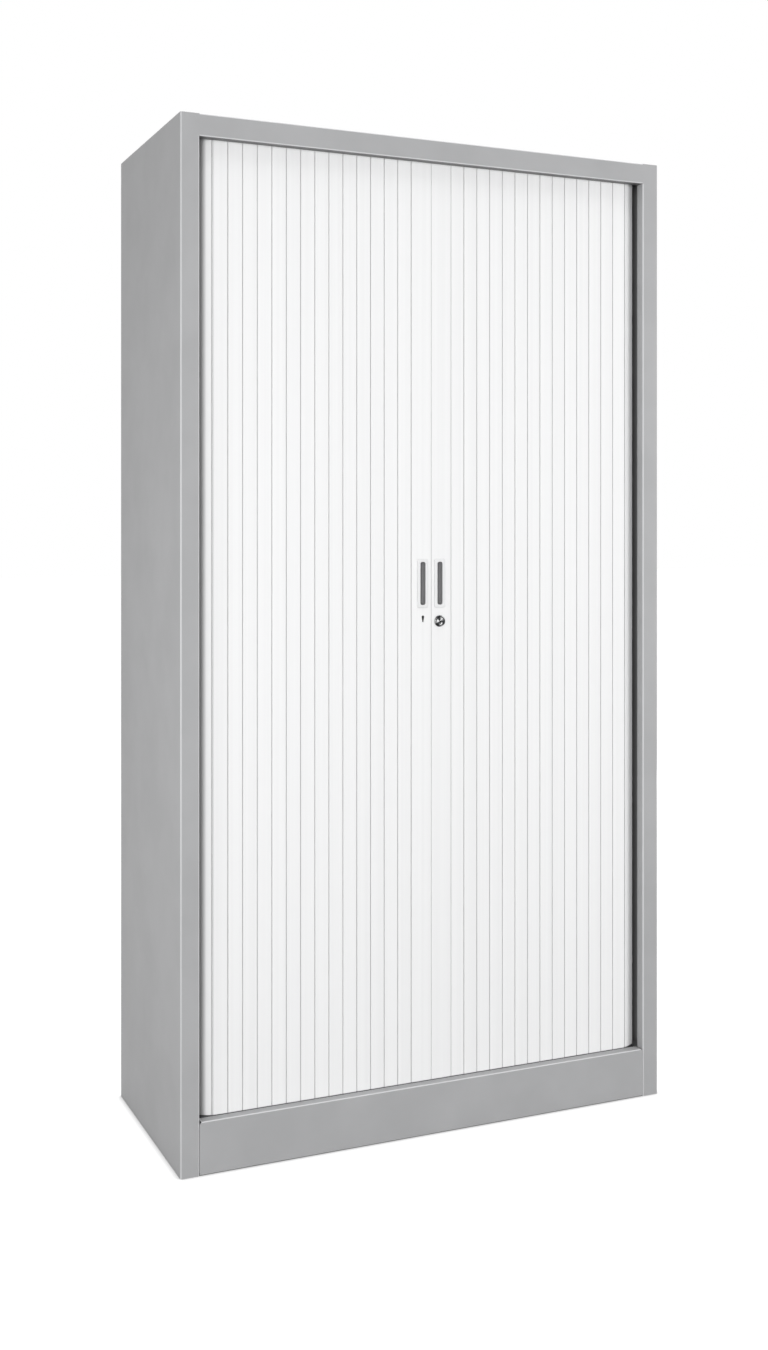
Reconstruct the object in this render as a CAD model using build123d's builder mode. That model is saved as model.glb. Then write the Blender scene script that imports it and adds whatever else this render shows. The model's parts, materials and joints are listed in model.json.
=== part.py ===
from build123d import *
import os
from math import cos, dist, pi, radians, sin

# Roll front cupboard: a folded steel carcass and two side-opening curtains of hinged slats.
# Millimetres. X runs across the front, +Y to the back, +Z up, origin under the middle of the base.

# Carcass
width = 1000.0
depth = 430.0
height = 1885.0
sheet = 1.0
bend = 2.5  # outside radius of a fold
seam = 0.2  # gap between sheets that lie against each other
stile_width = 35.0
reveal_depth = 22.0  # how far the stile's edge folds back
reveal_lip = 12.0
header_height = 40.0
header_clearance = 1.5  # header's return to the curtain's face
side_return = 20.0  # the side panels' flange at the back
side_foot = 22.0  # flange that the side panels stand on
top_flange = 20.0

# Plinth and base
plinth_height = 95.5
plinth_lift = 1.0
plinth_bend = 2.0
plinth_corner = 7.0
plinth_gap = 0.4
plinth_hem = 15.0
base_drop = 20.0  # front flange of the base panel

# Curtain and its track
curtain_setback = 20.0  # from the frame's face to the curtain's face
corner_radius = 48.0  # of the curtain's face where it turns into the side
curtain_to_side = 22.0
slat_pitch = 28.0
slat_count = 15
slat_web = 1.8
slat_groove = 1.0  # gap between the faces of two slats
slat_edge = 0.7
pivot_back = 5.3  # hinge line behind the curtain's face
bead_radius = 1.8
bead_clearance = 0.4
socket_wall = 1.0
neck = 1.3
hinge_sides = 8  # flats of the moulded bead and of its socket
socket_open = (-70.0, 20.0)  # angles between which the socket lets the neck swing
end_gap = 1.0  # between a slat's end and the track
cover = 3.0  # how far the header hides the top of the slats
groove_clearance = 0.4
groove_depth = 9.0
track_wall = 2.0
track_base = 2.5
seat = 0.3  # running gap under a piece that slides on its seat
track_rear_gap = 12.0

# Lead strips, the stiff edges that carry the pulls and the lock
lead_width = 42.0
lead_depth = 12.0
lead_wall = 2.0
lead_lip = 5.5
lead_back = 36.0  # where the box section ends and the hinge rib begins
meeting_gap = 0.8
stop_margin = 7.0  # lead strip to corner when fully open
lead_tab = 20.0
lead_tab_height = 30.0

# Recessed pulls
pull_centre_x = 18.0
pull_centre_z = 1043.5
bezel_width, bezel_height, bezel_proud, bezel_corner = 23.0, 93.0, 1.6, 4.0
slot_width, slot_height, slot_depth, slot_corner = 11.0, 82.0, 10.5, 4.0
cup_wall = 2.0
cup_clearance = 0.3

# Lock
lock_x, lock_drop = 17.7, 72.5  # from the meeting line, and below the pulls' centre
lock_face_radius, lock_face_proud = 11.0, 2.5
barrel_radius, plug_radius, plug_clearance = 9.0, 6.5, 0.08
nut_across, nut_thickness = 24.0, 3.0
rim_width, ring_width, ring_depth = 1.6, 1.8, 0.8  # of the turned ring round the plug
key_width, key_height, key_jog, key_depth = 2.2, 10.0, 1.2, 6.0
hook_thickness, hook_hub, hook_width = 2.0, 8.0, 12.0
hook_reach, hook_end = 27.7, 6.3
hook_gap = 2.5  # lead strip's back to the hook
keeper_pin_radius, keeper_clearance, keeper_pin_end = 2.0, 0.8, 1.0
keeper_width, keeper_height, keeper_plate = 26.0, 40.0, 1.5
peep_x, peep_rise, peep_width, peep_height = 17.5, 5.0, 5.4, 13.0  # drop-shaped opening over the keeper
peep_tip = 1.2  # radius at its lower end
boss_setback, boss_clearance = 0.8, 0.2  # of the keeper's boss in that opening

# Inside
liner_clearance = 2.5  # track to liner
liner_front = 65.0  # behind the frame's face
liner_fold = 13.0
slot_pitch = 87.5
clip_slot_width, clip_slot_height = 16.0, 4.0
clip_front, clip_back = 105.0, 45.0  # clip columns, from the frame's face and from the back
clip_width, clip_plate, clip_ledge, clip_hook = 14.0, 1.8, 13.0, 6.0
shelf_slots = (4, 8, 12, 16)  # slot rows, counted from the floor
shelf_edge = 25.0
shelf_hem = 12.0
shelf_end = 20.0
shelf_play = 1.3
shelf_front_gap = 4.0

# Levelling feet
foot_inset, foot_front, foot_back = 60.0, 60.0, 45.0  # from the sides, the face and the back
foot_lift = 1.0
pad_radius, pad_height, pad_chamfer = 19.0, 9.0, 3.0
stud_radius, stud_clearance, stud_length = 4.0, 0.1, 56.0
bracket_web_z, bracket_sheet, bracket_width, bracket_length = 28.0, 2.0, 60.0, 50.0
foot_nut_across, foot_nut_height = 13.0, 6.5

# Rivets of the back panel
rivet_head_radius, rivet_head, rivet_taper = 3.4, 1.2, 50.0
rivet_sides = 10
rivets_up, rivets_across = 6, 4
rivet_margin = 80.0

# Places worked out from the sizes above
side = width / 2
lock_z = pull_centre_z - lock_drop
front = -depth / 2
rear = depth / 2 - rivet_head
opening = side - stile_width
header_bottom = height - header_height
curtain_face = front + curtain_setback
pivot_y = curtain_face + pivot_back
corner_x = side - sheet - curtain_to_side - corner_radius
corner_y = curtain_face + corner_radius
run_radius = corner_radius - pivot_back
corner_arc = run_radius * pi / 2
track_x = corner_x + run_radius
groove_width = 2 * (bead_radius + groove_clearance)
track_width = groove_width + 2 * track_wall
track_height = groove_depth + track_base
track_end = rear - track_rear_gap
floor_z = plinth_height - track_height
slat_bottom = plinth_height + end_gap
slat_top = header_bottom + cover
ceiling_z = slat_top + end_gap + track_height
pin_bottom = floor_z + track_base + seat
pin_top = ceiling_z - track_base - seat
socket_inner = bead_radius + bead_clearance
socket_outer = socket_inner + socket_wall
lead_rear = curtain_face + lead_depth
door_travel = corner_x - lead_width - stop_margin
liner_x = track_x - track_width / 2 - liner_clearance
liner_y = front + liner_front
back_face = rear - sheet - seam
back_inside = back_face - sheet - seam
inner_half = side - sheet - seam - bend  # half width of the sheets inside the side panels' bends
shelf_levels = [floor_z + slot_pitch * row for row in shelf_slots]


def folded_sheet(points, radius=bend, inside=Side.LEFT):
    """A folded sheet's section, from the corners of its outside face."""
    with BuildSketch() as section:
        with BuildLine():
            FilletPolyline(*points, radius=radius)
            offset(amount=sheet, side=inside)
        make_face()
    return section.sketch


def mirrored(solid):
    with BuildPart() as copy:
        mirror(solid, about=Plane.YZ)
    return copy.part


def save(solid, label):
    solid.label = label
    export_step(solid, f"parts/{label}.step")


def track_point(s):
    """The point of the track's centre line at the distance s outward from the middle of the front."""
    if s < corner_x:
        return (s, pivot_y)
    if s < corner_x + corner_arc:
        turn = (s - corner_x) / run_radius
        return (corner_x + run_radius * sin(turn), corner_y - run_radius * cos(turn))
    return (track_x, corner_y + s - corner_x - corner_arc)


def next_pivot(s):
    """How far along the track the next hinge is, one slat's pitch away in a straight line."""
    near, far = s, s + 2 * slat_pitch
    while far - near > 1e-9:
        middle = (near + far) / 2
        if dist(track_point(s), track_point(middle)) < slat_pitch:
            near = middle
        else:
            far = middle
    return far


pivots = [lead_width]
for _ in range(slat_count):
    pivots.append(next_pivot(pivots[-1]))


def rivet_places():
    """Rivets of the back panel: up both sides, and along the top and the base."""
    step = (height - 2 * rivet_margin) / (rivets_up - 1)
    up = [rivet_margin + n * step for n in range(rivets_up)]
    spread = 2 * opening - 2 * rivet_margin
    across = [-spread / 2 + n * spread / (rivets_across - 1) for n in range(rivets_across)]
    sides = [(x, z) for x in (-rivet_side, rivet_side) for z in up]
    return sides, [(x, rivet_top) for x in across], [(x, rivet_low) for x in across]


rivet_side = side - side_return / 2 - sheet / 2
rivet_top = height - top_flange / 2
rivet_low = floor_z - base_drop / 2
side_rivets, top_rivets, base_rivets = rivet_places()


# --- Carcass ---------------------------------------------------------------------------------

with BuildPart() as side_panel:
    with BuildSketch(Plane.XY):
        add(folded_sheet(
            [
                (opening + reveal_lip, front + reveal_depth),
                (opening, front + reveal_depth),
                (opening, front),
                (side, front),
                (side, rear),
                (side - side_return, rear),
            ]
        ))
    extrude(amount=header_bottom)
    # beside the header the face runs straight up to it, with no fold between them
    with BuildSketch(Plane.XY.offset(header_bottom)):
        add(folded_sheet(
            [(opening, front), (side, front), (side, rear), (side - side_return, rear)]
        ))
    extrude(amount=header_height)
    with BuildSketch(Plane.XY):
        with Locations((side - sheet, front + reveal_depth + seam)):
            Rectangle(
                side_foot,
                rear - sheet - front - reveal_depth - 2 * seam,
                align=(Align.MAX, Align.MIN),
            )
    extrude(amount=sheet)

with BuildPart() as top_panel:
    with BuildSketch(Plane.YZ):
        add(folded_sheet(
            [
                (curtain_face - header_clearance, header_bottom),
                (front, header_bottom),
                (front, height),
                (rear, height),
                (rear, height - top_flange),
            ],
            inside=Side.RIGHT,
        ))
    extrude(amount=opening, both=True)
    # the plate's two ends run on over the stiles, down inside the side panels
    with BuildSketch(Plane.XZ.offset(-(front + sheet + seam))):
        add(folded_sheet(
            [
                (opening - seam, height),
                (side - sheet - seam, height),
                (side - sheet - seam, height - top_flange),
            ],
            inside=Side.RIGHT,
        ))
    extrude(amount=-(rear - front - 2 * sheet - 2 * seam))
    # reliefs for the side panel's bends at its stile and its back
    with BuildSketch(Plane.XY.offset(height)):
        with Locations((side - sheet, front + sheet), (side - sheet, rear - sheet)):
            Rectangle(2 * bend, 2 * bend)
    extrude(amount=-header_height, mode=Mode.SUBTRACT)
    mirror(about=Plane.YZ)

with BuildPart() as ceiling_panel:
    with BuildSketch(Plane.YZ):
        add(folded_sheet(
            [
                (pivot_y - track_width / 2, height - sheet - seam),
                (pivot_y - track_width / 2, ceiling_z),
                (back_inside, ceiling_z),
                (back_inside, height - bend - seam),
            ]
        ))
    extrude(amount=inner_half, both=True)

with BuildPart() as back_panel:
    with BuildSketch(Plane.XZ.offset(-back_face)):
        with Locations((0, plinth_lift)):
            Rectangle(
                2 * inner_half,
                height - bend - seam - plinth_lift,
                align=(Align.CENTER, Align.MIN),
            )
    extrude(amount=sheet)

with BuildPart() as base_panel:
    with BuildSketch(Plane.YZ):
        add(folded_sheet(
            [
                (pivot_y - track_width / 2, floor_z - base_drop),
                (pivot_y - track_width / 2, floor_z),
                (back_inside, floor_z),
                (back_inside, plinth_lift),
            ],
            inside=Side.RIGHT,
        ))
    extrude(amount=side - sheet - seam, both=True)
    # notches round the stiles' folded edges
    with BuildSketch(Plane.XY.offset(floor_z)):
        for way in (-1, 1):
            with Locations((way * side, front)):
                Rectangle(
                    2 * (stile_width + plinth_gap),
                    2 * (reveal_depth + seam),
                )
    extrude(amount=-plinth_height, mode=Mode.SUBTRACT)

with BuildPart() as front_plinth:
    with BuildSketch(Plane.YZ):
        add(folded_sheet(
            [
                (front + plinth_hem, plinth_lift),
                (front, plinth_lift),
                (front, plinth_height),
                (pivot_y - track_width / 2 - seam, plinth_height),
                (pivot_y - track_width / 2 - seam, floor_z - base_drop),
            ],
            radius=[bend, plinth_bend, bend],
            inside=Side.RIGHT,
        ))
    extrude(amount=opening - plinth_gap, both=True)
    with BuildSketch(Plane.XZ.offset(-front)):
        with Locations((0, plinth_lift)):
            plinth_face = Rectangle(
                2 * (opening - plinth_gap),
                plinth_height - plinth_lift,
                align=(Align.CENTER, Align.MIN),
            )
        fillet(plinth_face.vertices().group_by(Axis.Y)[-1], radius=plinth_corner)
    extrude(amount=-depth, mode=Mode.INTERSECT)


# --- Tracks ----------------------------------------------------------------------------------


def track_band(line_width):
    """A band of this width along the track's centre line."""
    with BuildSketch() as band:
        with BuildLine():
            Line((meeting_gap, pivot_y), (corner_x, pivot_y))
            turn = CenterArc((corner_x, corner_y), run_radius, -90, 90)
            Line(turn @ 1, (track_x, track_end))
        trace(line_width=line_width)
    return band.sketch


def track_channel(base_z, way):
    """The right-hand channel on the base at base_z. way is 1 for a groove that opens upward."""
    with BuildPart() as channel:
        with BuildSketch(Plane.XY.offset(base_z)):
            add(track_band(track_width))
        extrude(amount=way * track_height)
        with BuildSketch(Plane.XY.offset(base_z + way * track_base)):
            add(track_band(groove_width))
        extrude(amount=way * groove_depth, mode=Mode.SUBTRACT)
    return channel.part


with BuildPart() as bottom_tracks:
    add(track_channel(floor_z, 1))
    mirror(about=Plane.YZ)

with BuildPart() as top_tracks:
    add(track_channel(ceiling_z, -1))
    mirror(about=Plane.YZ)


# --- Curtain slats ---------------------------------------------------------------------------


def socket_section():
    """The C-shaped socket round a hinge at the origin, with the rib that joins it to its own web."""
    mouth = [(2 * socket_outer * cos(radians(a)), 2 * socket_outer * sin(radians(a))) for a in socket_open]
    with BuildSketch() as section:
        RegularPolygon(socket_outer, hinge_sides, major_radius=False)
        RegularPolygon(socket_inner, hinge_sides, major_radius=False, mode=Mode.SUBTRACT)
        with BuildLine():
            Polyline((0, 0), *mouth, close=True)
        make_face(mode=Mode.SUBTRACT)
        with Locations((-socket_outer, slat_web - pivot_back)):
            Rectangle(
                neck,
                pivot_back - slat_web - bead_radius / 2,
                align=(Align.MIN, Align.MIN),
            )
    return section.sketch


def web_section():
    """One slat's web behind its face, with the bead at the origin and the neck between them."""
    web_middle = pivot_back - slat_web / 2
    with BuildSketch() as section:
        with Locations((slat_groove / 2, -pivot_back)):
            web = Rectangle(slat_pitch - slat_groove, slat_web, align=(Align.MIN, Align.MIN))
        chamfer(web.vertices().group_by(Axis.Y)[0], length=slat_edge)
        RegularPolygon(bead_radius, hinge_sides)
        with BuildLine():
            Polyline(
                (-neck / 2, -neck / 2),
                (neck / 2, neck / 2),
                (web_middle + neck / 2, neck / 2 - web_middle),
                (web_middle - neck / 2, -neck / 2 - web_middle),
                close=True,
            )
        make_face()
    return section.sketch


def slat(n):
    """Slat n of the right-hand curtain, counted outward from the lead strip."""
    start, end = track_point(pivots[n - 1]), track_point(pivots[n])
    along = (end[0] - start[0], end[1] - start[1], 0)
    hinge = Plane(origin=(*start, 0), x_dir=along, z_dir=(0, 0, 1))
    far_hinge = Plane(origin=(*end, 0), x_dir=along, z_dir=(0, 0, 1))
    with BuildPart() as part:
        with BuildSketch(hinge.offset(slat_bottom)):
            add(web_section())
        with BuildSketch(far_hinge.offset(slat_bottom)):
            add(socket_section())
        extrude(amount=slat_top - slat_bottom)
        # the bead runs on past both ends as the pin that follows the groove
        with BuildSketch(hinge.offset(pin_bottom)):
            RegularPolygon(bead_radius, hinge_sides)
        extrude(amount=pin_top - pin_bottom)
    return part.part


# --- Lead strips -----------------------------------------------------------------------------


def lead_section():
    """The lead strip's box section, open at the back, with its hinge rib."""
    inner_face = meeting_gap / 2
    with BuildSketch() as section:
        with BuildLine():
            Polyline(
                (inner_face, curtain_face),
                (lead_width - slat_groove / 2, curtain_face),
                (lead_width - slat_groove / 2, curtain_face + slat_web),
                (lead_back, curtain_face + slat_web),
                (lead_back, lead_rear),
                (lead_back - lead_wall - lead_lip, lead_rear),
                (lead_back - lead_wall - lead_lip, lead_rear - lead_wall),
                (lead_back - lead_wall, lead_rear - lead_wall),
                (lead_back - lead_wall, curtain_face + lead_wall),
                (inner_face + lead_wall, curtain_face + lead_wall),
                (inner_face + lead_wall, lead_rear - lead_wall),
                (inner_face + lead_wall + lead_lip, lead_rear - lead_wall),
                (inner_face + lead_wall + lead_lip, lead_rear),
                (inner_face, lead_rear),
                close=True,
            )
        make_face()
    return section.sketch


def pull_outline(grown, corner):
    """The pull's slot, grown by this much on each side."""
    with BuildSketch() as outline:
        with Locations((pull_centre_x, pull_centre_z)):
            RectangleRounded(slot_width + 2 * grown, slot_height + 2 * grown, radius=corner)
    return outline.sketch


def lead_blank():
    """A right-hand lead strip with its track tabs and pull window, before the lock's holes."""
    tab_x = (meeting_gap / 2 + lead_back) / 2
    tab_back = pivot_y + bead_radius
    with BuildPart() as blank:
        with BuildSketch(Plane.XY.offset(slat_bottom)):
            add(lead_section())
        with BuildSketch(Plane((lead_width, pivot_y, slat_bottom))):
            add(socket_section())
        extrude(amount=slat_top - slat_bottom)
        # solid ends inside the box section carry the tabs
        for end in (slat_bottom, slat_top - lead_tab_height):
            with BuildSketch(Plane.XY.offset(end)):
                with Locations((tab_x, curtain_face + lead_wall / 2)):
                    Rectangle(
                        lead_tab,
                        tab_back - curtain_face - lead_wall / 2,
                        align=(Align.CENTER, Align.MIN),
                    )
            extrude(amount=lead_tab_height)
        with BuildSketch(Plane.XY.offset(pin_bottom)):
            with Locations((tab_x, pivot_y)):
                Rectangle(lead_tab, 2 * bead_radius)
        extrude(amount=slat_bottom + lead_tab_height - pin_bottom)
        with BuildSketch(Plane.XY.offset(pin_top)):
            with Locations((tab_x, pivot_y)):
                Rectangle(lead_tab, 2 * bead_radius)
        extrude(amount=slat_top - lead_tab_height - pin_top)
        with BuildSketch(Plane.XZ.offset(-curtain_face)):
            add(pull_outline(cup_wall + cup_clearance, slot_corner + cup_wall))
        extrude(amount=-lead_wall, mode=Mode.SUBTRACT)
    return blank.part


def peep_outline(grown):
    """The drop-shaped opening in the left lead strip, grown by this much all round."""
    top_z = lock_z + peep_rise + peep_height / 2 - peep_width / 2
    tip_z = lock_z + peep_rise - peep_height / 2 + peep_tip
    with BuildSketch() as outline:
        with Locations((-peep_x, top_z)):
            Circle(peep_width / 2 + grown)
        with Locations((-peep_x, tip_z)):
            Circle(peep_tip + grown)
        make_hull()
    return outline.sketch


with BuildPart() as lead_strip_right:
    add(lead_blank())
    with BuildSketch(Plane.XZ.offset(-curtain_face)):
        with Locations((lock_x, lock_z)):
            Circle(barrel_radius + cup_clearance)
    extrude(amount=-lead_wall, mode=Mode.SUBTRACT)

with BuildPart() as lead_strip_left:
    mirror(lead_blank(), about=Plane.YZ)
    with BuildSketch(Plane.XZ.offset(-curtain_face)):
        add(peep_outline(0))
    extrude(amount=-lead_wall, mode=Mode.SUBTRACT)

with BuildPart() as pull_right:
    with BuildSketch(Plane.XZ.offset(-curtain_face)):
        with Locations((pull_centre_x, pull_centre_z)):
            RectangleRounded(bezel_width, bezel_height, radius=bezel_corner)
    extrude(amount=bezel_proud)
    chamfer(pull_right.faces().sort_by(Axis.Y)[0].edges(), length=bezel_proud / 2)
    with BuildSketch(Plane.XZ.offset(-curtain_face)):
        add(pull_outline(cup_wall, slot_corner + cup_wall - cup_clearance))
    extrude(amount=-(slot_depth - bezel_proud + cup_wall))
    with BuildSketch(Plane.XZ.offset(-(curtain_face - bezel_proud))):
        add(pull_outline(0, slot_corner))
    extrude(amount=-slot_depth, mode=Mode.SUBTRACT)


# --- Lock ------------------------------------------------------------------------------------

lock_front = Plane((lock_x, curtain_face, lock_z), x_dir=(1, 0, 0), z_dir=(0, -1, 0))
hook_front = lead_rear + hook_gap

with BuildPart() as lock_barrel:
    with BuildSketch(lock_front):
        Circle(lock_face_radius)
        Circle(plug_radius + plug_clearance, mode=Mode.SUBTRACT)
    extrude(amount=lock_face_proud)
    rim = lock_barrel.edges().filter_by(GeomType.CIRCLE).group_by(Axis.Y)[0].sort_by(SortBy.RADIUS)[-1]
    chamfer(rim, length=lock_face_proud / 3)
    with BuildSketch(lock_front.offset(lock_face_proud)):
        Circle(lock_face_radius - rim_width)
        Circle(lock_face_radius - rim_width - ring_width, mode=Mode.SUBTRACT)
    extrude(amount=-ring_depth, mode=Mode.SUBTRACT)
    with BuildSketch(lock_front):
        Circle(barrel_radius)
        Circle(plug_radius + plug_clearance, mode=Mode.SUBTRACT)
    extrude(amount=-(lead_depth + hook_gap / 2))
    with BuildSketch(lock_front.offset(-lead_wall)):
        RegularPolygon(nut_across / 2, 6, major_radius=False)
        Circle(barrel_radius, mode=Mode.SUBTRACT)
    extrude(amount=-nut_thickness)

with BuildPart() as lock_plug:
    with BuildSketch(lock_front.offset(lock_face_proud)):
        Circle(plug_radius)
    extrude(amount=-(lock_face_proud + lead_depth + hook_gap))
    # the keyway's two halves are set off sideways from each other
    with BuildSketch(lock_front.offset(lock_face_proud)):
        with Locations((-key_jog / 2, key_height / 4), (key_jog / 2, -key_height / 4)):
            Rectangle(key_width, key_height / 2)
    extrude(amount=-key_depth, mode=Mode.SUBTRACT)
    with BuildSketch(lock_front.offset(-(lead_depth + hook_gap))):
        Rectangle(plug_radius, plug_radius)
    extrude(amount=-hook_thickness)
    # screw head that holds the hook on the plug's square
    with BuildSketch(lock_front.offset(-(lead_depth + hook_gap + hook_thickness))):
        Circle(plug_radius - plug_clearance)
    extrude(amount=-hook_thickness)

with BuildPart() as lock_hook:
    with BuildSketch(lock_front.offset(-(lead_depth + hook_gap))):
        Circle(hook_hub)
        with Locations((0, 0)):
            Rectangle(hook_width, hook_reach, align=(Align.CENTER, Align.MAX))
        with Locations((0, -hook_reach)):
            Circle(hook_end)
        # the claw opens toward the meeting edge and takes the keeper's pin
        with Locations((0, -hook_reach)):
            Circle(keeper_pin_radius + keeper_clearance, mode=Mode.SUBTRACT)
            Rectangle(
                hook_width,
                2 * (keeper_pin_radius + keeper_clearance),
                align=(Align.MAX, Align.CENTER),
                mode=Mode.SUBTRACT,
            )
        Rectangle(plug_radius + 2 * plug_clearance, plug_radius + 2 * plug_clearance, mode=Mode.SUBTRACT)
    extrude(amount=-hook_thickness)

with BuildPart() as lock_keeper:
    keeper_x = lock_x - hook_reach
    with BuildSketch(Plane.XZ.offset(-lead_rear)):
        with Locations((-meeting_gap / 2 - lead_wall, lock_z)):
            Rectangle(keeper_width, keeper_height, align=(Align.MAX, Align.CENTER))
    extrude(amount=-keeper_plate)
    with BuildSketch(Plane.XZ.offset(-(lead_rear + keeper_plate))):
        with Locations((keeper_x, lock_z)):
            Circle(keeper_pin_radius)
    extrude(amount=-(hook_gap + hook_thickness + keeper_pin_end - keeper_plate))
    # the boss fills the opening in the lead strip's face
    with BuildSketch(Plane.XZ.offset(-(curtain_face + boss_setback))):
        add(peep_outline(-boss_clearance))
    extrude(amount=-(lead_depth - boss_setback))


# --- Inside ----------------------------------------------------------------------------------

clip_columns = (front + clip_front, rear - clip_back)
slot_rows = int((ceiling_z - floor_z) / slot_pitch)
slot_levels = [floor_z + slot_pitch * row for row in range(1, slot_rows)]

with BuildPart() as liner_right:
    with BuildSketch(Plane.XY.offset(floor_z + seam)):
        add(folded_sheet(
            [
                (liner_x - liner_fold, liner_y),
                (liner_x, liner_y),
                (liner_x, back_inside - sheet - seam),
                (liner_x - liner_fold, back_inside - sheet - seam),
            ]
        ))
    extrude(amount=ceiling_z - floor_z - 2 * seam)
    with BuildSketch(Plane.YZ.offset(liner_x)):
        with Locations(*[(y, z) for y in clip_columns for z in slot_levels]):
            Rectangle(clip_slot_width, clip_slot_height)
    extrude(amount=-sheet, mode=Mode.SUBTRACT)

liner_inside = liner_x - sheet
shelf_half = liner_inside - shelf_play
shelf_front = liner_y + shelf_front_gap
shelf_rear = back_inside - 2 * sheet - 3 * seam
ledge_top = seam - clip_slot_height / 2 + clip_plate  # above the slot's middle


def shelf(level):
    """A pan shelf that rests on the clips in the slots at this level."""
    top = level + ledge_top + seat + shelf_end
    with BuildPart() as pan:
        with BuildSketch(Plane.YZ):
            add(folded_sheet(
                [
                    (shelf_front + shelf_hem, top - shelf_edge),
                    (shelf_front, top - shelf_edge),
                    (shelf_front, top),
                    (shelf_rear, top),
                    (shelf_rear, top - shelf_edge),
                    (shelf_rear - shelf_hem, top - shelf_edge),
                ],
                inside=Side.RIGHT,
            ))
        extrude(amount=shelf_half, both=True)
        for way in (-1, 1):
            with BuildSketch(Plane.YZ.offset(way * shelf_half)):
                with Locations((shelf_front + bend, top - sheet / 2)):
                    Rectangle(
                        shelf_rear - shelf_front - 2 * bend,
                        shelf_end - sheet / 2,
                        align=(Align.MIN, Align.MAX),
                    )
            extrude(amount=-way * sheet)
    return pan.part


def clip_section():
    """A shelf clip's section: a ledge, a neck through the slot and a hook behind the liner."""
    ledge_low = seam - clip_slot_height / 2
    hook_x = liner_x + seam
    with BuildSketch() as section:
        with BuildLine():
            Polyline(
                (liner_inside - clip_ledge, ledge_low),
                (hook_x + clip_plate, ledge_low),
                (hook_x + clip_plate, ledge_low + clip_hook),
                (hook_x, ledge_low + clip_hook),
                (hook_x, ledge_low + clip_plate),
                (liner_inside - clip_ledge, ledge_low + clip_plate),
                close=True,
            )
        make_face()
    return section.sketch


with BuildPart() as shelf_clips:
    for level in shelf_levels:
        for y in clip_columns:
            with BuildSketch(Plane((0, y, level), x_dir=(1, 0, 0), z_dir=(0, -1, 0))):
                add(clip_section())
            extrude(amount=clip_width / 2, both=True)
    mirror(about=Plane.YZ)


# --- Levelling feet --------------------------------------------------------------------------

foot_spots = {
    "front_left": (foot_inset - side, front + foot_front),
    "front_right": (side - foot_inset, front + foot_front),
    "rear_left": (foot_inset - side, rear - foot_back),
    "rear_right": (side - foot_inset, rear - foot_back),
}

with BuildPart() as foot_brackets:
    for x, y in foot_spots.values():
        with BuildSketch(Plane((x, y + bracket_length / 2, 0), x_dir=(1, 0, 0), z_dir=(0, -1, 0))):
            with Locations((0, bracket_web_z)):
                Rectangle(
                    bracket_width,
                    floor_z - sheet - seam - bracket_web_z,
                    align=(Align.CENTER, Align.MIN),
                )
            with Locations((0, bracket_web_z + bracket_sheet)):
                Rectangle(
                    bracket_width - 2 * bracket_sheet,
                    floor_z,
                    align=(Align.CENTER, Align.MIN),
                    mode=Mode.SUBTRACT,
                )
        extrude(amount=bracket_length)
        with BuildSketch(Plane((x, y, bracket_web_z + bracket_sheet))):
            RegularPolygon(foot_nut_across / 2, 6, major_radius=False)
        extrude(amount=foot_nut_height)
        with BuildSketch(Plane((x, y, bracket_web_z))):
            Circle(stud_radius + stud_clearance)
        extrude(amount=bracket_sheet + foot_nut_height, mode=Mode.SUBTRACT)


def levelling_foot(x, y):
    """A stud on a moulded base with six flats for the spanner, screwed right up."""
    with BuildPart() as foot:
        with BuildSketch(Plane((x, y, foot_lift))):
            RegularPolygon(pad_radius, 6)
        extrude(amount=pad_height)
        chamfer(foot.edges().group_by(Axis.Z)[-1], length=pad_chamfer)
        with BuildSketch(Plane((x, y, foot_lift + pad_height))):
            Circle(stud_radius)
        extrude(amount=stud_length)
    return foot.part


# --- Rivets ----------------------------------------------------------------------------------

# the heads, which sit on the sheets; the closed shanks inside the seams are left out
with BuildPart() as back_rivets:
    for places, seat_y in ((side_rivets, rear), (top_rivets, rear), (base_rivets, back_face)):
        with BuildSketch(Plane.XZ.offset(-seat_y)):
            with Locations(*places):
                RegularPolygon(rivet_head_radius, rivet_sides)
        extrude(amount=-rivet_head, taper=rivet_taper)


# --- Write -----------------------------------------------------------------------------------

os.makedirs("parts", exist_ok=True)

save(side_panel.part, "side_panel_right")
save(mirrored(side_panel.part), "side_panel_left")
save(top_panel.part, "top_panel")
save(ceiling_panel.part, "ceiling_panel")
save(back_panel.part, "back_panel")
save(base_panel.part, "base_panel")
save(front_plinth.part, "front_plinth")
save(bottom_tracks.part, "bottom_tracks")
save(top_tracks.part, "top_tracks")
for n in range(1, slat_count + 1):
    one = slat(n)
    save(one, f"slat_right_{n:02d}")
    save(mirrored(one), f"slat_left_{n:02d}")
save(lead_strip_right.part, "lead_strip_right")
save(lead_strip_left.part, "lead_strip_left")
save(pull_right.part, "pull_right")
save(mirrored(pull_right.part), "pull_left")
save(lock_barrel.part, "lock_barrel")
save(lock_plug.part, "lock_plug")
save(lock_hook.part, "lock_hook")
save(lock_keeper.part, "lock_keeper")
save(liner_right.part, "liner_right")
save(mirrored(liner_right.part), "liner_left")
for n, level in enumerate(shelf_levels, 1):
    save(shelf(level), f"shelf_{n}")
save(shelf_clips.part, "shelf_clips")
save(foot_brackets.part, "foot_brackets")
for spot, (x, y) in foot_spots.items():
    save(levelling_foot(x, y), f"foot_{spot}")
save(back_rivets.part, "back_rivets")
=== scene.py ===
import json
import math

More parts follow.
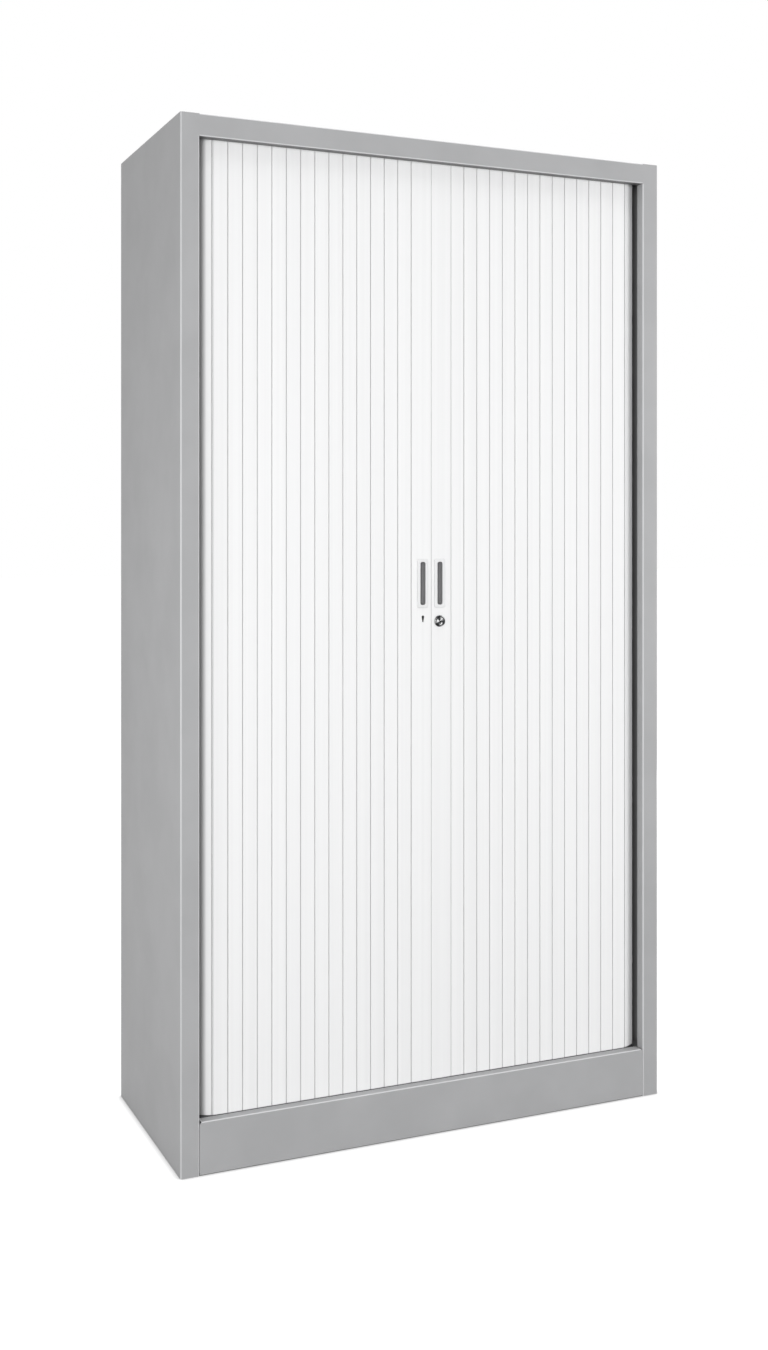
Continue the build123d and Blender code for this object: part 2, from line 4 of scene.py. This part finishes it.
import bmesh
import bpy
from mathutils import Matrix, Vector


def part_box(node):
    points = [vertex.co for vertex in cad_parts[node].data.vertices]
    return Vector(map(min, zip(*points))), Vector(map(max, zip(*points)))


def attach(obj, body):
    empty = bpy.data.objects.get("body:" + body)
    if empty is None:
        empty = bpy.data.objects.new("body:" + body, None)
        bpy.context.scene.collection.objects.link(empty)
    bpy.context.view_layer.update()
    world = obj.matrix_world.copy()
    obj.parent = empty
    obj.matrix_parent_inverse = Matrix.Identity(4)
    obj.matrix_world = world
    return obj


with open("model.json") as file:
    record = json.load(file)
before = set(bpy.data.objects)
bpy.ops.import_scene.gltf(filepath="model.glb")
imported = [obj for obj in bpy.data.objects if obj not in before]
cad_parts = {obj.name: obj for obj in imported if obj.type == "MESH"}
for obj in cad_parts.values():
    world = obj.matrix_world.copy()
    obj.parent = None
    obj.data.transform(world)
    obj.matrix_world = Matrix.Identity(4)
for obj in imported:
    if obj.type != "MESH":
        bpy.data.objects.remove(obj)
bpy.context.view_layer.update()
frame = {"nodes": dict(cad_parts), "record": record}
nodes = frame["nodes"]
print("frame loaded:", len(nodes), "nodes")

# all lengths are in metres


# helpers for the node trees

def startMaterial(name):
    material = bpy.data.materials.new(name)
    material.use_nodes = True
    return material, material.node_tree, material.node_tree.nodes["Principled BSDF"]


def objectPlace(tree, stretch=(1, 1, 1)):
    place = tree.nodes.new("ShaderNodeTexCoord")
    fit = tree.nodes.new("ShaderNodeMapping")
    fit.inputs["Scale"].default_value = stretch
    tree.links.new(place.outputs["Object"], fit.inputs["Vector"])
    return fit.outputs["Vector"]


def noiseOn(tree, place, scale, detail=2.0):
    noise = tree.nodes.new("ShaderNodeTexNoise")
    noise.inputs["Scale"].default_value = scale
    noise.inputs["Detail"].default_value = detail
    tree.links.new(place, noise.inputs["Vector"])
    return noise.outputs["Fac"]


def spread(tree, value, low, high, start=0.35, end=0.65):
    fit = tree.nodes.new("ShaderNodeMapRange")
    fit.inputs["From Min"].default_value = start
    fit.inputs["From Max"].default_value = end
    fit.inputs["To Min"].default_value = low
    fit.inputs["To Max"].default_value = high
    tree.links.new(value, fit.inputs["Value"])
    return fit.outputs["Result"]


def between(tree, share, first, second):
    mix = tree.nodes.new("ShaderNodeMix")
    mix.data_type = "RGBA"
    tree.links.new(share, mix.inputs["Factor"])
    for socket, colour in ((mix.inputs[6], first), (mix.inputs[7], second)):
        if isinstance(colour, tuple):
            socket.default_value = (*colour, 1.0)
        else:
            tree.links.new(colour, socket)
    return mix.outputs[2]


def bumpBy(tree, shader, height, depth, under=None):
    bump = tree.nodes.new("ShaderNodeBump")
    bump.inputs["Distance"].default_value = depth
    tree.links.new(height, bump.inputs["Height"])
    if under is not None:
        tree.links.new(under, bump.inputs["Normal"])
    tree.links.new(bump.outputs["Normal"], shader.inputs["Normal"])
    return bump.outputs["Normal"]


def calculate(tree, operation, first, second=None):
    step = tree.nodes.new("ShaderNodeMath")
    step.operation = operation
    for socket, value in zip(step.inputs, (first, second)):
        if isinstance(value, (int, float)):
            socket.default_value = value
        elif value is not None:
            tree.links.new(value, socket)
    return step.outputs["Value"]


def axesOf(tree, kind):
    place = tree.nodes.new("ShaderNodeTexCoord")
    split = tree.nodes.new("ShaderNodeSeparateXYZ")
    tree.links.new(place.outputs[kind], split.inputs["Vector"])
    return split.outputs["X"], split.outputs["Y"], split.outputs["Z"]


creaseRays = 8


def openness(tree, reach, start=0.35, end=0.9):  # 0 deep in a crease, 1 on an open face
    hollow = tree.nodes.new("ShaderNodeAmbientOcclusion")
    hollow.samples = creaseRays
    hollow.inputs["Distance"].default_value = reach
    return spread(tree, hollow.outputs["AO"], 0.0, 1.0, start, end)


def shadeOf(colour, share):
    return tuple(channel * share for channel in colour)


def foldsOf(tree, facing):  # 1 round a folded edge, 0 on the flat faces beside it
    x, y, z = (calculate(tree, "ABSOLUTE", way) for way in axesOf(tree, "Normal"))
    most = calculate(tree, "MAXIMUM", calculate(tree, "MAXIMUM", x, y), z)
    return spread(tree, most, 1.0, 0.0, *facing)


# paint and plastics

paintLook = {
    "colour": (0.417, 0.419, 0.426),
    "darkest": 0.930,  # of the colour, in the soft mottling
    "mottleScale": 9.0,
    "mottleDetail": 3.0,
    "grainScale": 1500.0,  # orange peel of the powder
    "grainDetail": 3.0,
    "grainDepth": 0.00002,
    "roughness": (0.38, 0.48),
    "specular": 0.3,
    "paintedFoldHighlight": 1.55,  # painted highlight: the paint is lighter along a folded edge
    "foldFacing": (0.95, 0.998),  # a normal's largest part, well round a fold and off it
    "paintedUndersideShade": 0.26,  # painted shade under a folded lip, beside something close
    "undersideFacing": (-0.9, -0.4),  # upward part of the normal, underneath and past it
    "undersideReach": 0.09,
    "undersideOpen": (0.6, 0.95),
}


def powderCoat():
    look = paintLook
    material, tree, shader = startMaterial("silverGreyPowderCoat")
    place = objectPlace(tree)
    clouds = noiseOn(tree, place, look["mottleScale"], look["mottleDetail"])
    mottle = spread(tree, clouds, 0.0, 1.0)
    colour = between(tree, mottle, shadeOf(look["colour"], look["darkest"]), look["colour"])
    # painted highlight along the folded edges
    folds = foldsOf(tree, look["foldFacing"])
    colour = between(tree, folds, colour, shadeOf(look["colour"], look["paintedFoldHighlight"]))
    # painted shade on faces that look down, where something close stands over them
    looksDown = spread(tree, axesOf(tree, "Normal")[2], 1.0, 0.0, *look["undersideFacing"])
    room = openness(tree, look["undersideReach"], *look["undersideOpen"])
    shaded = calculate(tree, "MULTIPLY", looksDown, calculate(tree, "SUBTRACT", 1.0, room))
    colour = between(tree, shaded, colour, shadeOf(look["colour"], look["paintedUndersideShade"]))
    tree.links.new(colour, shader.inputs["Base Color"])
    grain = noiseOn(tree, place, look["grainScale"], look["grainDetail"])
    tree.links.new(spread(tree, grain, *look["roughness"]), shader.inputs["Roughness"])
    shader.inputs["Specular IOR Level"].default_value = look["specular"]
    bumpBy(tree, shader, grain, look["grainDepth"])
    return material


curtainLook = {
    "colour": (0.900, 0.902, 0.905),
    "darkest": 0.970,
    "bandStretch": (120.0, 120.0, 0.4),  # faint upright bands of the extrusion
    "lineStretch": (2600.0, 2600.0, 6.0),  # fine drawn lines
    "lineDepth": 0.000008,
    "crown": 0.00012,  # how far the middle of a face stands before its edges
    "creaseShade": 0.74,  # painted shade in the grooves between the slats
    "creaseReach": 0.005,
    "tail": (0.0205, 0.0060),  # in from the left stile's edge: painted shadow of the stile on the curtain where it turns in
    "tailShade": 0.20,
    "specular": 0.35,
    "roughness": (0.46, 0.56),
}
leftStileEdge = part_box("side_panel_left")[1][0]


def extrudedPlastic(name, look):
    material, tree, shader = startMaterial(name)
    bands = noiseOn(tree, objectPlace(tree, look["bandStretch"]), 1.0)
    share = spread(tree, bands, 0.0, 1.0)
    colour = between(tree, share, shadeOf(look["colour"], look["darkest"]), look["colour"])
    # painted shadow of the left stile on the end of the curtain
    places = [leftStileEdge + inward for inward in look["tail"]]
    tail = spread(tree, axesOf(tree, "Object")[0], 0.0, 1.0, *places)
    colour = between(tree, tail, colour, shadeOf(look["colour"], look["tailShade"]))
    # painted shade in the grooves, from how closed in a point is
    creased = shadeOf(look["colour"], look["creaseShade"])
    colour = between(tree, openness(tree, look["creaseReach"]), creased, colour)
    tree.links.new(colour, shader.inputs["Base Color"])
    lines = noiseOn(tree, objectPlace(tree, look["lineStretch"]), 1.0)
    tree.links.new(spread(tree, lines, *look["roughness"]), shader.inputs["Roughness"])
    shader.inputs["Specular IOR Level"].default_value = look["specular"]
    across = calculate(tree, "MULTIPLY", axesOf(tree, "Generated")[0], math.pi)
    crowned = bumpBy(tree, shader, calculate(tree, "SINE", across), look["crown"])
    bumpBy(tree, shader, lines, look["lineDepth"], under=crowned)
    return material


mouldingLooks = {
    "pullGrey": {
        "colour": (0.80, 0.803, 0.808),
        "inner": (0.30, 0.30, 0.305),  # of the cup behind the bezel
        "innerFrom": (0.0011, 0.0016),  # behind the face, where the bezel's edge turns in
        "roughness": (0.32, 0.42),
    },
    "trackGrey": {"colour": (0.12, 0.122, 0.126), "roughness": (0.45, 0.6)},
    "keeperBlack": {
        "colour": (0.006, 0.006, 0.006),
        "roughness": (0.55, 0.7),
        "specular": 0.12,
    },
    "footBlack": {"colour": (0.025, 0.025, 0.026), "roughness": (0.5, 0.65)},
}
moulding = {  # what all mouldings share
    "grainScale": 2500.0,
    "grainDetail": 3.0,
    "grainDepth": 0.00001,
    "darkest": 0.93,
    "specular": 0.5,
}
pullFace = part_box("pull_left")[0][1]


def mouldedPlastic(name):
    look = mouldingLooks[name]
    material, tree, shader = startMaterial(name)
    place = objectPlace(tree)
    grain = noiseOn(tree, place, moulding["grainScale"], moulding["grainDetail"])
    share = spread(tree, grain, 0.0, 1.0)
    colour = between(tree, share, shadeOf(look["colour"], moulding["darkest"]), look["colour"])
    if "inner" in look:
        edge = [pullFace + depth for depth in look["innerFrom"]]
        behindFace = spread(tree, axesOf(tree, "Object")[1], 0.0, 1.0, *edge)
        colour = between(tree, behindFace, colour, look["inner"])
    tree.links.new(colour, shader.inputs["Base Color"])
    tree.links.new(spread(tree, grain, *look["roughness"]), shader.inputs["Roughness"])
    specular = look.get("specular", moulding["specular"])
    shader.inputs["Specular IOR Level"].default_value = specular
    bumpBy(tree, shader, grain, moulding["grainDepth"])
    return material


metalLooks = {
    "zincPlate": {"colour": (0.62, 0.635, 0.64), "roughness": (0.28, 0.45), "scale": 260.0},
    "rivetAluminium": {"colour": (0.70, 0.70, 0.705), "roughness": (0.30, 0.42), "scale": 700.0},
}
plating = {"detail": 3.0, "relief": 0.000006, "darkest": 0.94}


def platedMetal(name):
    look = metalLooks[name]
    material, tree, shader = startMaterial(name)
    shader.inputs["Metallic"].default_value = 1.0
    cloud = noiseOn(tree, objectPlace(tree), look["scale"], plating["detail"])
    share = spread(tree, cloud, 0.0, 1.0)
    colour = between(tree, share, shadeOf(look["colour"], plating["darkest"]), look["colour"])
    tree.links.new(colour, shader.inputs["Base Color"])
    tree.links.new(spread(tree, cloud, *look["roughness"]), shader.inputs["Roughness"])
    bumpBy(tree, shader, cloud, plating["relief"])
    return material


lockLow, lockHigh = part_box("lock_barrel")
lockLook = {
    "centre": ((lockLow[0] + lockHigh[0]) / 2, (lockLow[2] + lockHigh[2]) / 2),
    "face": lockLow[1],
    "bright": (0.43, 0.433, 0.437),
    "dark": (0.035, 0.036, 0.038),
    "wedges": 3,  # painted reflections: light and dark wedges like those a turned face throws
    "wedgeEdge": (-0.7, 1.0),  # of their wave, where dark begins and bright is full
    "firstWedge": math.radians(172),
    "paintedRecessShade": (0.004, 0.004, 0.004),  # painted shade: the colour down in the keyway and the ring
    "recess": (0.0004, 0.0008, 0.008, 0.0095),  # their start and end, behind the face
    "barrel": (0.0090, 0.0094),  # how far out from the middle they reach at most
    "ringScale": 9000.0,
    "ringDepth": 0.000005,
    "roughness": (0.10, 0.18),
}


def chromeWithPaintedReflections(look):
    material, tree, shader = startMaterial("chromeWithPaintedReflections")
    shader.inputs["Metallic"].default_value = 1.0
    x, y, z = axesOf(tree, "Object")
    sideways = calculate(tree, "SUBTRACT", x, look["centre"][0])
    upward = calculate(tree, "SUBTRACT", z, look["centre"][1])
    # painted reflection: the colour runs from dark to bright in wedges round the middle
    angle = calculate(tree, "ARCTAN2", upward, sideways)
    turn = calculate(tree, "SUBTRACT", angle, look["firstWedge"])
    wave = calculate(tree, "COSINE", calculate(tree, "MULTIPLY", turn, look["wedges"]))
    paintedReflection = spread(tree, wave, 0.0, 1.0, *look["wedgeEdge"])
    colour = between(tree, paintedReflection, look["dark"], look["bright"])
    # painted shade down in the keyway and the ring
    nearStart, nearEnd, farStart, farEnd = (look["face"] + depth for depth in look["recess"])
    behind = spread(tree, y, 0.0, 1.0, nearStart, nearEnd)
    before = spread(tree, y, 1.0, 0.0, farStart, farEnd)
    squares = [calculate(tree, "MULTIPLY", way, way) for way in (sideways, upward)]
    radius = calculate(tree, "SQRT", calculate(tree, "ADD", *squares))
    within = spread(tree, radius, 1.0, 0.0, *look["barrel"])
    paintedRecessShade = calculate(tree, "MULTIPLY", calculate(tree, "MULTIPLY", behind, before), within)
    colour = between(tree, paintedRecessShade, colour, look["paintedRecessShade"])
    tree.links.new(colour, shader.inputs["Base Color"])
    rings = calculate(tree, "SINE", calculate(tree, "MULTIPLY", radius, look["ringScale"]))
    tree.links.new(spread(tree, rings, *look["roughness"], -1.0, 1.0), shader.inputs["Roughness"])
    bumpBy(tree, shader, rings, look["ringDepth"])
    return material


finishes = {
    "carcass_paint": powderCoat(),
    "curtain_plastic": extrudedPlastic("whiteExtrusion", curtainLook),
    "pull_plastic": mouldedPlastic("pullGrey"),
    "track_plastic": mouldedPlastic("trackGrey"),
    "keeper_black": mouldedPlastic("keeperBlack"),
    "foot_plastic": mouldedPlastic("footBlack"),
    "lock_chrome": chromeWithPaintedReflections(lockLook),
    "zinc_steel": platedMetal("zincPlate"),
    "rivet_aluminium": platedMetal("rivetAluminium"),
}
for part in frame["record"]["subparts"]:
    for materialSlot in nodes[part["node"]].material_slots:
        materialSlot.material = finishes[part["material_slot"]]
print("finishes on every node")


# folded laps on the stiles' returns, behind the seams at the plinth's ends

lapLook = {
    "reach": 0.013,  # across the seam, behind the plinth
    "depth": 0.016,  # of the leg on the stile's return
    "steel": 0.001,
    "behindFace": 0.0015,
    "play": 0.0002,  # from the stile's return
    "footRoom": 0.004,  # below and above it, inside the plinth's height
    "headRoom": 0.005,
    "softness": 0.0003,  # bevel of its edges
    "softSteps": 2,
}


def makeLap(name, side):
    look = lapLook
    low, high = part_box("front_plinth")
    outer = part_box("side_panel_right")[0][0] - look["play"]
    inner, tip = outer - look["steel"], outer - look["reach"]
    front = low[1] + look["behindFace"]
    rear, fold = front + look["depth"], front + look["steel"]
    outline = [(outer, rear), (outer, front), (tip, front)]
    outline += [(tip, fold), (inner, fold), (inner, rear)]
    bottom, top = low[2] + look["footRoom"], high[2] - look["headRoom"]
    shape = bmesh.new()
    face = shape.faces.new([shape.verts.new((side * x, y, bottom)) for x, y in outline])
    lifted = bmesh.ops.extrude_face_region(shape, geom=[face])["geom"]
    ends = [part for part in lifted if isinstance(part, bmesh.types.BMVert)]
    bmesh.ops.translate(shape, verts=ends, vec=(0.0, 0.0, top - bottom))
    bmesh.ops.recalc_face_normals(shape, faces=shape.faces[:])
    bmesh.ops.bevel(
        shape,
        geom=shape.edges[:],
        offset=look["softness"],
        segments=look["softSteps"],
        affect="EDGES",
    )
    mesh = bpy.data.meshes.new(name)
    shape.to_mesh(mesh)
    shape.free()
    mesh.materials.append(finishes["carcass_paint"])
    lap = bpy.data.objects.new(name, mesh)
    bpy.context.scene.collection.objects.link(lap)
    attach(lap, "carcass")


makeLap("plinthLapLeft", -1)
makeLap("plinthLapRight", 1)
print("laps behind the plinth's seams")


# studio: floor, backdrop, lamps and camera

floorLook = {
    "size": 60.0,
    "colour": (0.42, 0.42, 0.42),  # how much light it throws back up at the cupboard
    "seenColour": (0.30, 0.30, 0.30),  # how deep the shadow on it gets
    "seenGlow": 0.965,
    "contactReach": 0.014,  # painted contact shadow: how far out from a touching edge its glow is less
}
worldLook = {"ambient": 0.22, "backdrop": 1.0}
lamps = {
    "keySoftbox": {
        "at": (-3.3, -4.7, 1.25),
        "aim": (0.0, 0.0, 1.0),
        "size": (1.6, 2.4),
        "watts": 145.0,
    },
    "rightSoftbox": {
        "at": (2.9, -3.7, 1.25),
        "aim": (0.2, 0.0, 1.0),
        "size": (1.4, 2.2),
        "watts": 75.0,
    },
    "leftSoftbox": {
        "at": (-1.45, -0.5, 1.0),
        "aim": (-0.5, 0.0, 1.0),
        "size": (0.4, 1.0),
        "watts": 3.6,
    },
    "topSoftbox": {
        "at": (0.0, -0.6, 4.6),
        "aim": (0.0, 0.0, 0.0),
        "size": (3.0, 3.0),
        "watts": 66.0,
    },
    "rearSoftbox": {
        "at": (2.4, 3.4, 1.4),
        "aim": (0.0, 0.0, 1.0),
        "size": (1.6, 2.4),
        "watts": 120.0,
    },
}


def seenDirectly(tree):  # 1 where the camera, a mirror or a glass sees it
    rays = tree.nodes.new("ShaderNodeLightPath").outputs
    seen = rays["Is Camera Ray"]
    for ray in ("Is Glossy Ray", "Is Transmission Ray"):
        seen = calculate(tree, "MAXIMUM", seen, rays[ray])
    return seen


def makeWorld():
    world = bpy.data.worlds.new("softWorld")
    bpy.context.scene.world = world
    world.use_nodes = True
    tree = world.node_tree
    tree.nodes.clear()
    ambient = tree.nodes.new("ShaderNodeBackground")
    ambient.inputs["Strength"].default_value = worldLook["ambient"]
    backdrop = tree.nodes.new("ShaderNodeBackground")
    backdrop.inputs["Strength"].default_value = worldLook["backdrop"]
    for light in (ambient, backdrop):
        light.inputs["Color"].default_value = (1.0, 1.0, 1.0, 1.0)
    mix = tree.nodes.new("ShaderNodeMixShader")
    output = tree.nodes.new("ShaderNodeOutputWorld")
    tree.links.new(seenDirectly(tree), mix.inputs["Fac"])
    tree.links.new(ambient.outputs["Background"], mix.inputs[1])
    tree.links.new(backdrop.outputs["Background"], mix.inputs[2])
    tree.links.new(mix.outputs["Shader"], output.inputs["Surface"])


def makeFloor():
    half = floorLook["size"] / 2
    mesh = bpy.data.meshes.new("studioFloor")
    corners = [(-half, -half, 0), (half, -half, 0), (half, half, 0), (-half, half, 0)]
    mesh.from_pydata(corners, [], [(0, 1, 2, 3)])
    floor = bpy.data.objects.new("studioFloor", mesh)
    bpy.context.scene.collection.objects.link(floor)
    material = bpy.data.materials.new("paleFloor")
    material.use_nodes = True
    tree = material.node_tree
    tree.nodes.clear()
    plain = tree.nodes.new("ShaderNodeBsdfDiffuse")
    plain.inputs["Color"].default_value = (*floorLook["colour"], 1.0)
    seen = tree.nodes.new("ShaderNodeBsdfDiffuse")
    seen.inputs["Color"].default_value = (*floorLook["seenColour"], 1.0)
    glow = tree.nodes.new("ShaderNodeEmission")
    # painted contact shadow: the floor's glow is less close to a touching edge
    touch = tree.nodes.new("ShaderNodeAmbientOcclusion")
    touch.inputs["Distance"].default_value = floorLook["contactReach"]
    fade = spread(tree, touch.outputs["AO"], 0.0, floorLook["seenGlow"], 0.0, 1.0)
    tree.links.new(fade, glow.inputs["Strength"])
    lit = tree.nodes.new("ShaderNodeAddShader")
    tree.links.new(seen.outputs["BSDF"], lit.inputs[0])
    tree.links.new(glow.outputs["Emission"], lit.inputs[1])
    mix = tree.nodes.new("ShaderNodeMixShader")
    output = tree.nodes.new("ShaderNodeOutputMaterial")
    tree.links.new(seenDirectly(tree), mix.inputs["Fac"])
    tree.links.new(plain.outputs["BSDF"], mix.inputs[1])
    tree.links.new(lit.outputs["Shader"], mix.inputs[2])
    tree.links.new(mix.outputs["Shader"], output.inputs["Surface"])
    mesh.materials.append(material)


def makeLamps():
    for name, lamp in lamps.items():
        light = bpy.data.lights.new(name, "AREA")
        light.shape = "RECTANGLE"
        light.size, light.size_y = lamp["size"]
        light.energy = lamp["watts"]
        holder = bpy.data.objects.new(name, light)
        holder.location = lamp["at"]
        aim = Vector(lamp["aim"]) - holder.location
        holder.rotation_euler = aim.to_track_quat("-Z", "Y").to_euler()
        holder.visible_camera = False
        bpy.context.scene.collection.objects.link(holder)


cameraLook = {
    "at": (-1.24965, -2.79689, 1.15608),
    "turn": 0.4165,  # to the right of straight on, in radians
    "lens": 40.288,
    "sensor": 36.0,
    "shiftUp": -0.1116,
}


def makeCamera():
    data = bpy.data.cameras.new("frontLeftCamera")
    data.lens = cameraLook["lens"]
    data.sensor_width = cameraLook["sensor"]
    data.shift_y = cameraLook["shiftUp"]
    camera = bpy.data.objects.new("frontLeftCamera", data)
    camera.location = cameraLook["at"]
    camera.rotation_euler = (math.pi / 2, 0.0, -cameraLook["turn"])
    bpy.context.scene.collection.objects.link(camera)
    bpy.context.scene.camera = camera


makeWorld()
makeFloor()
makeLamps()
makeCamera()
bpy.context.scene.view_settings.view_transform = "Standard"
print("studio ready")
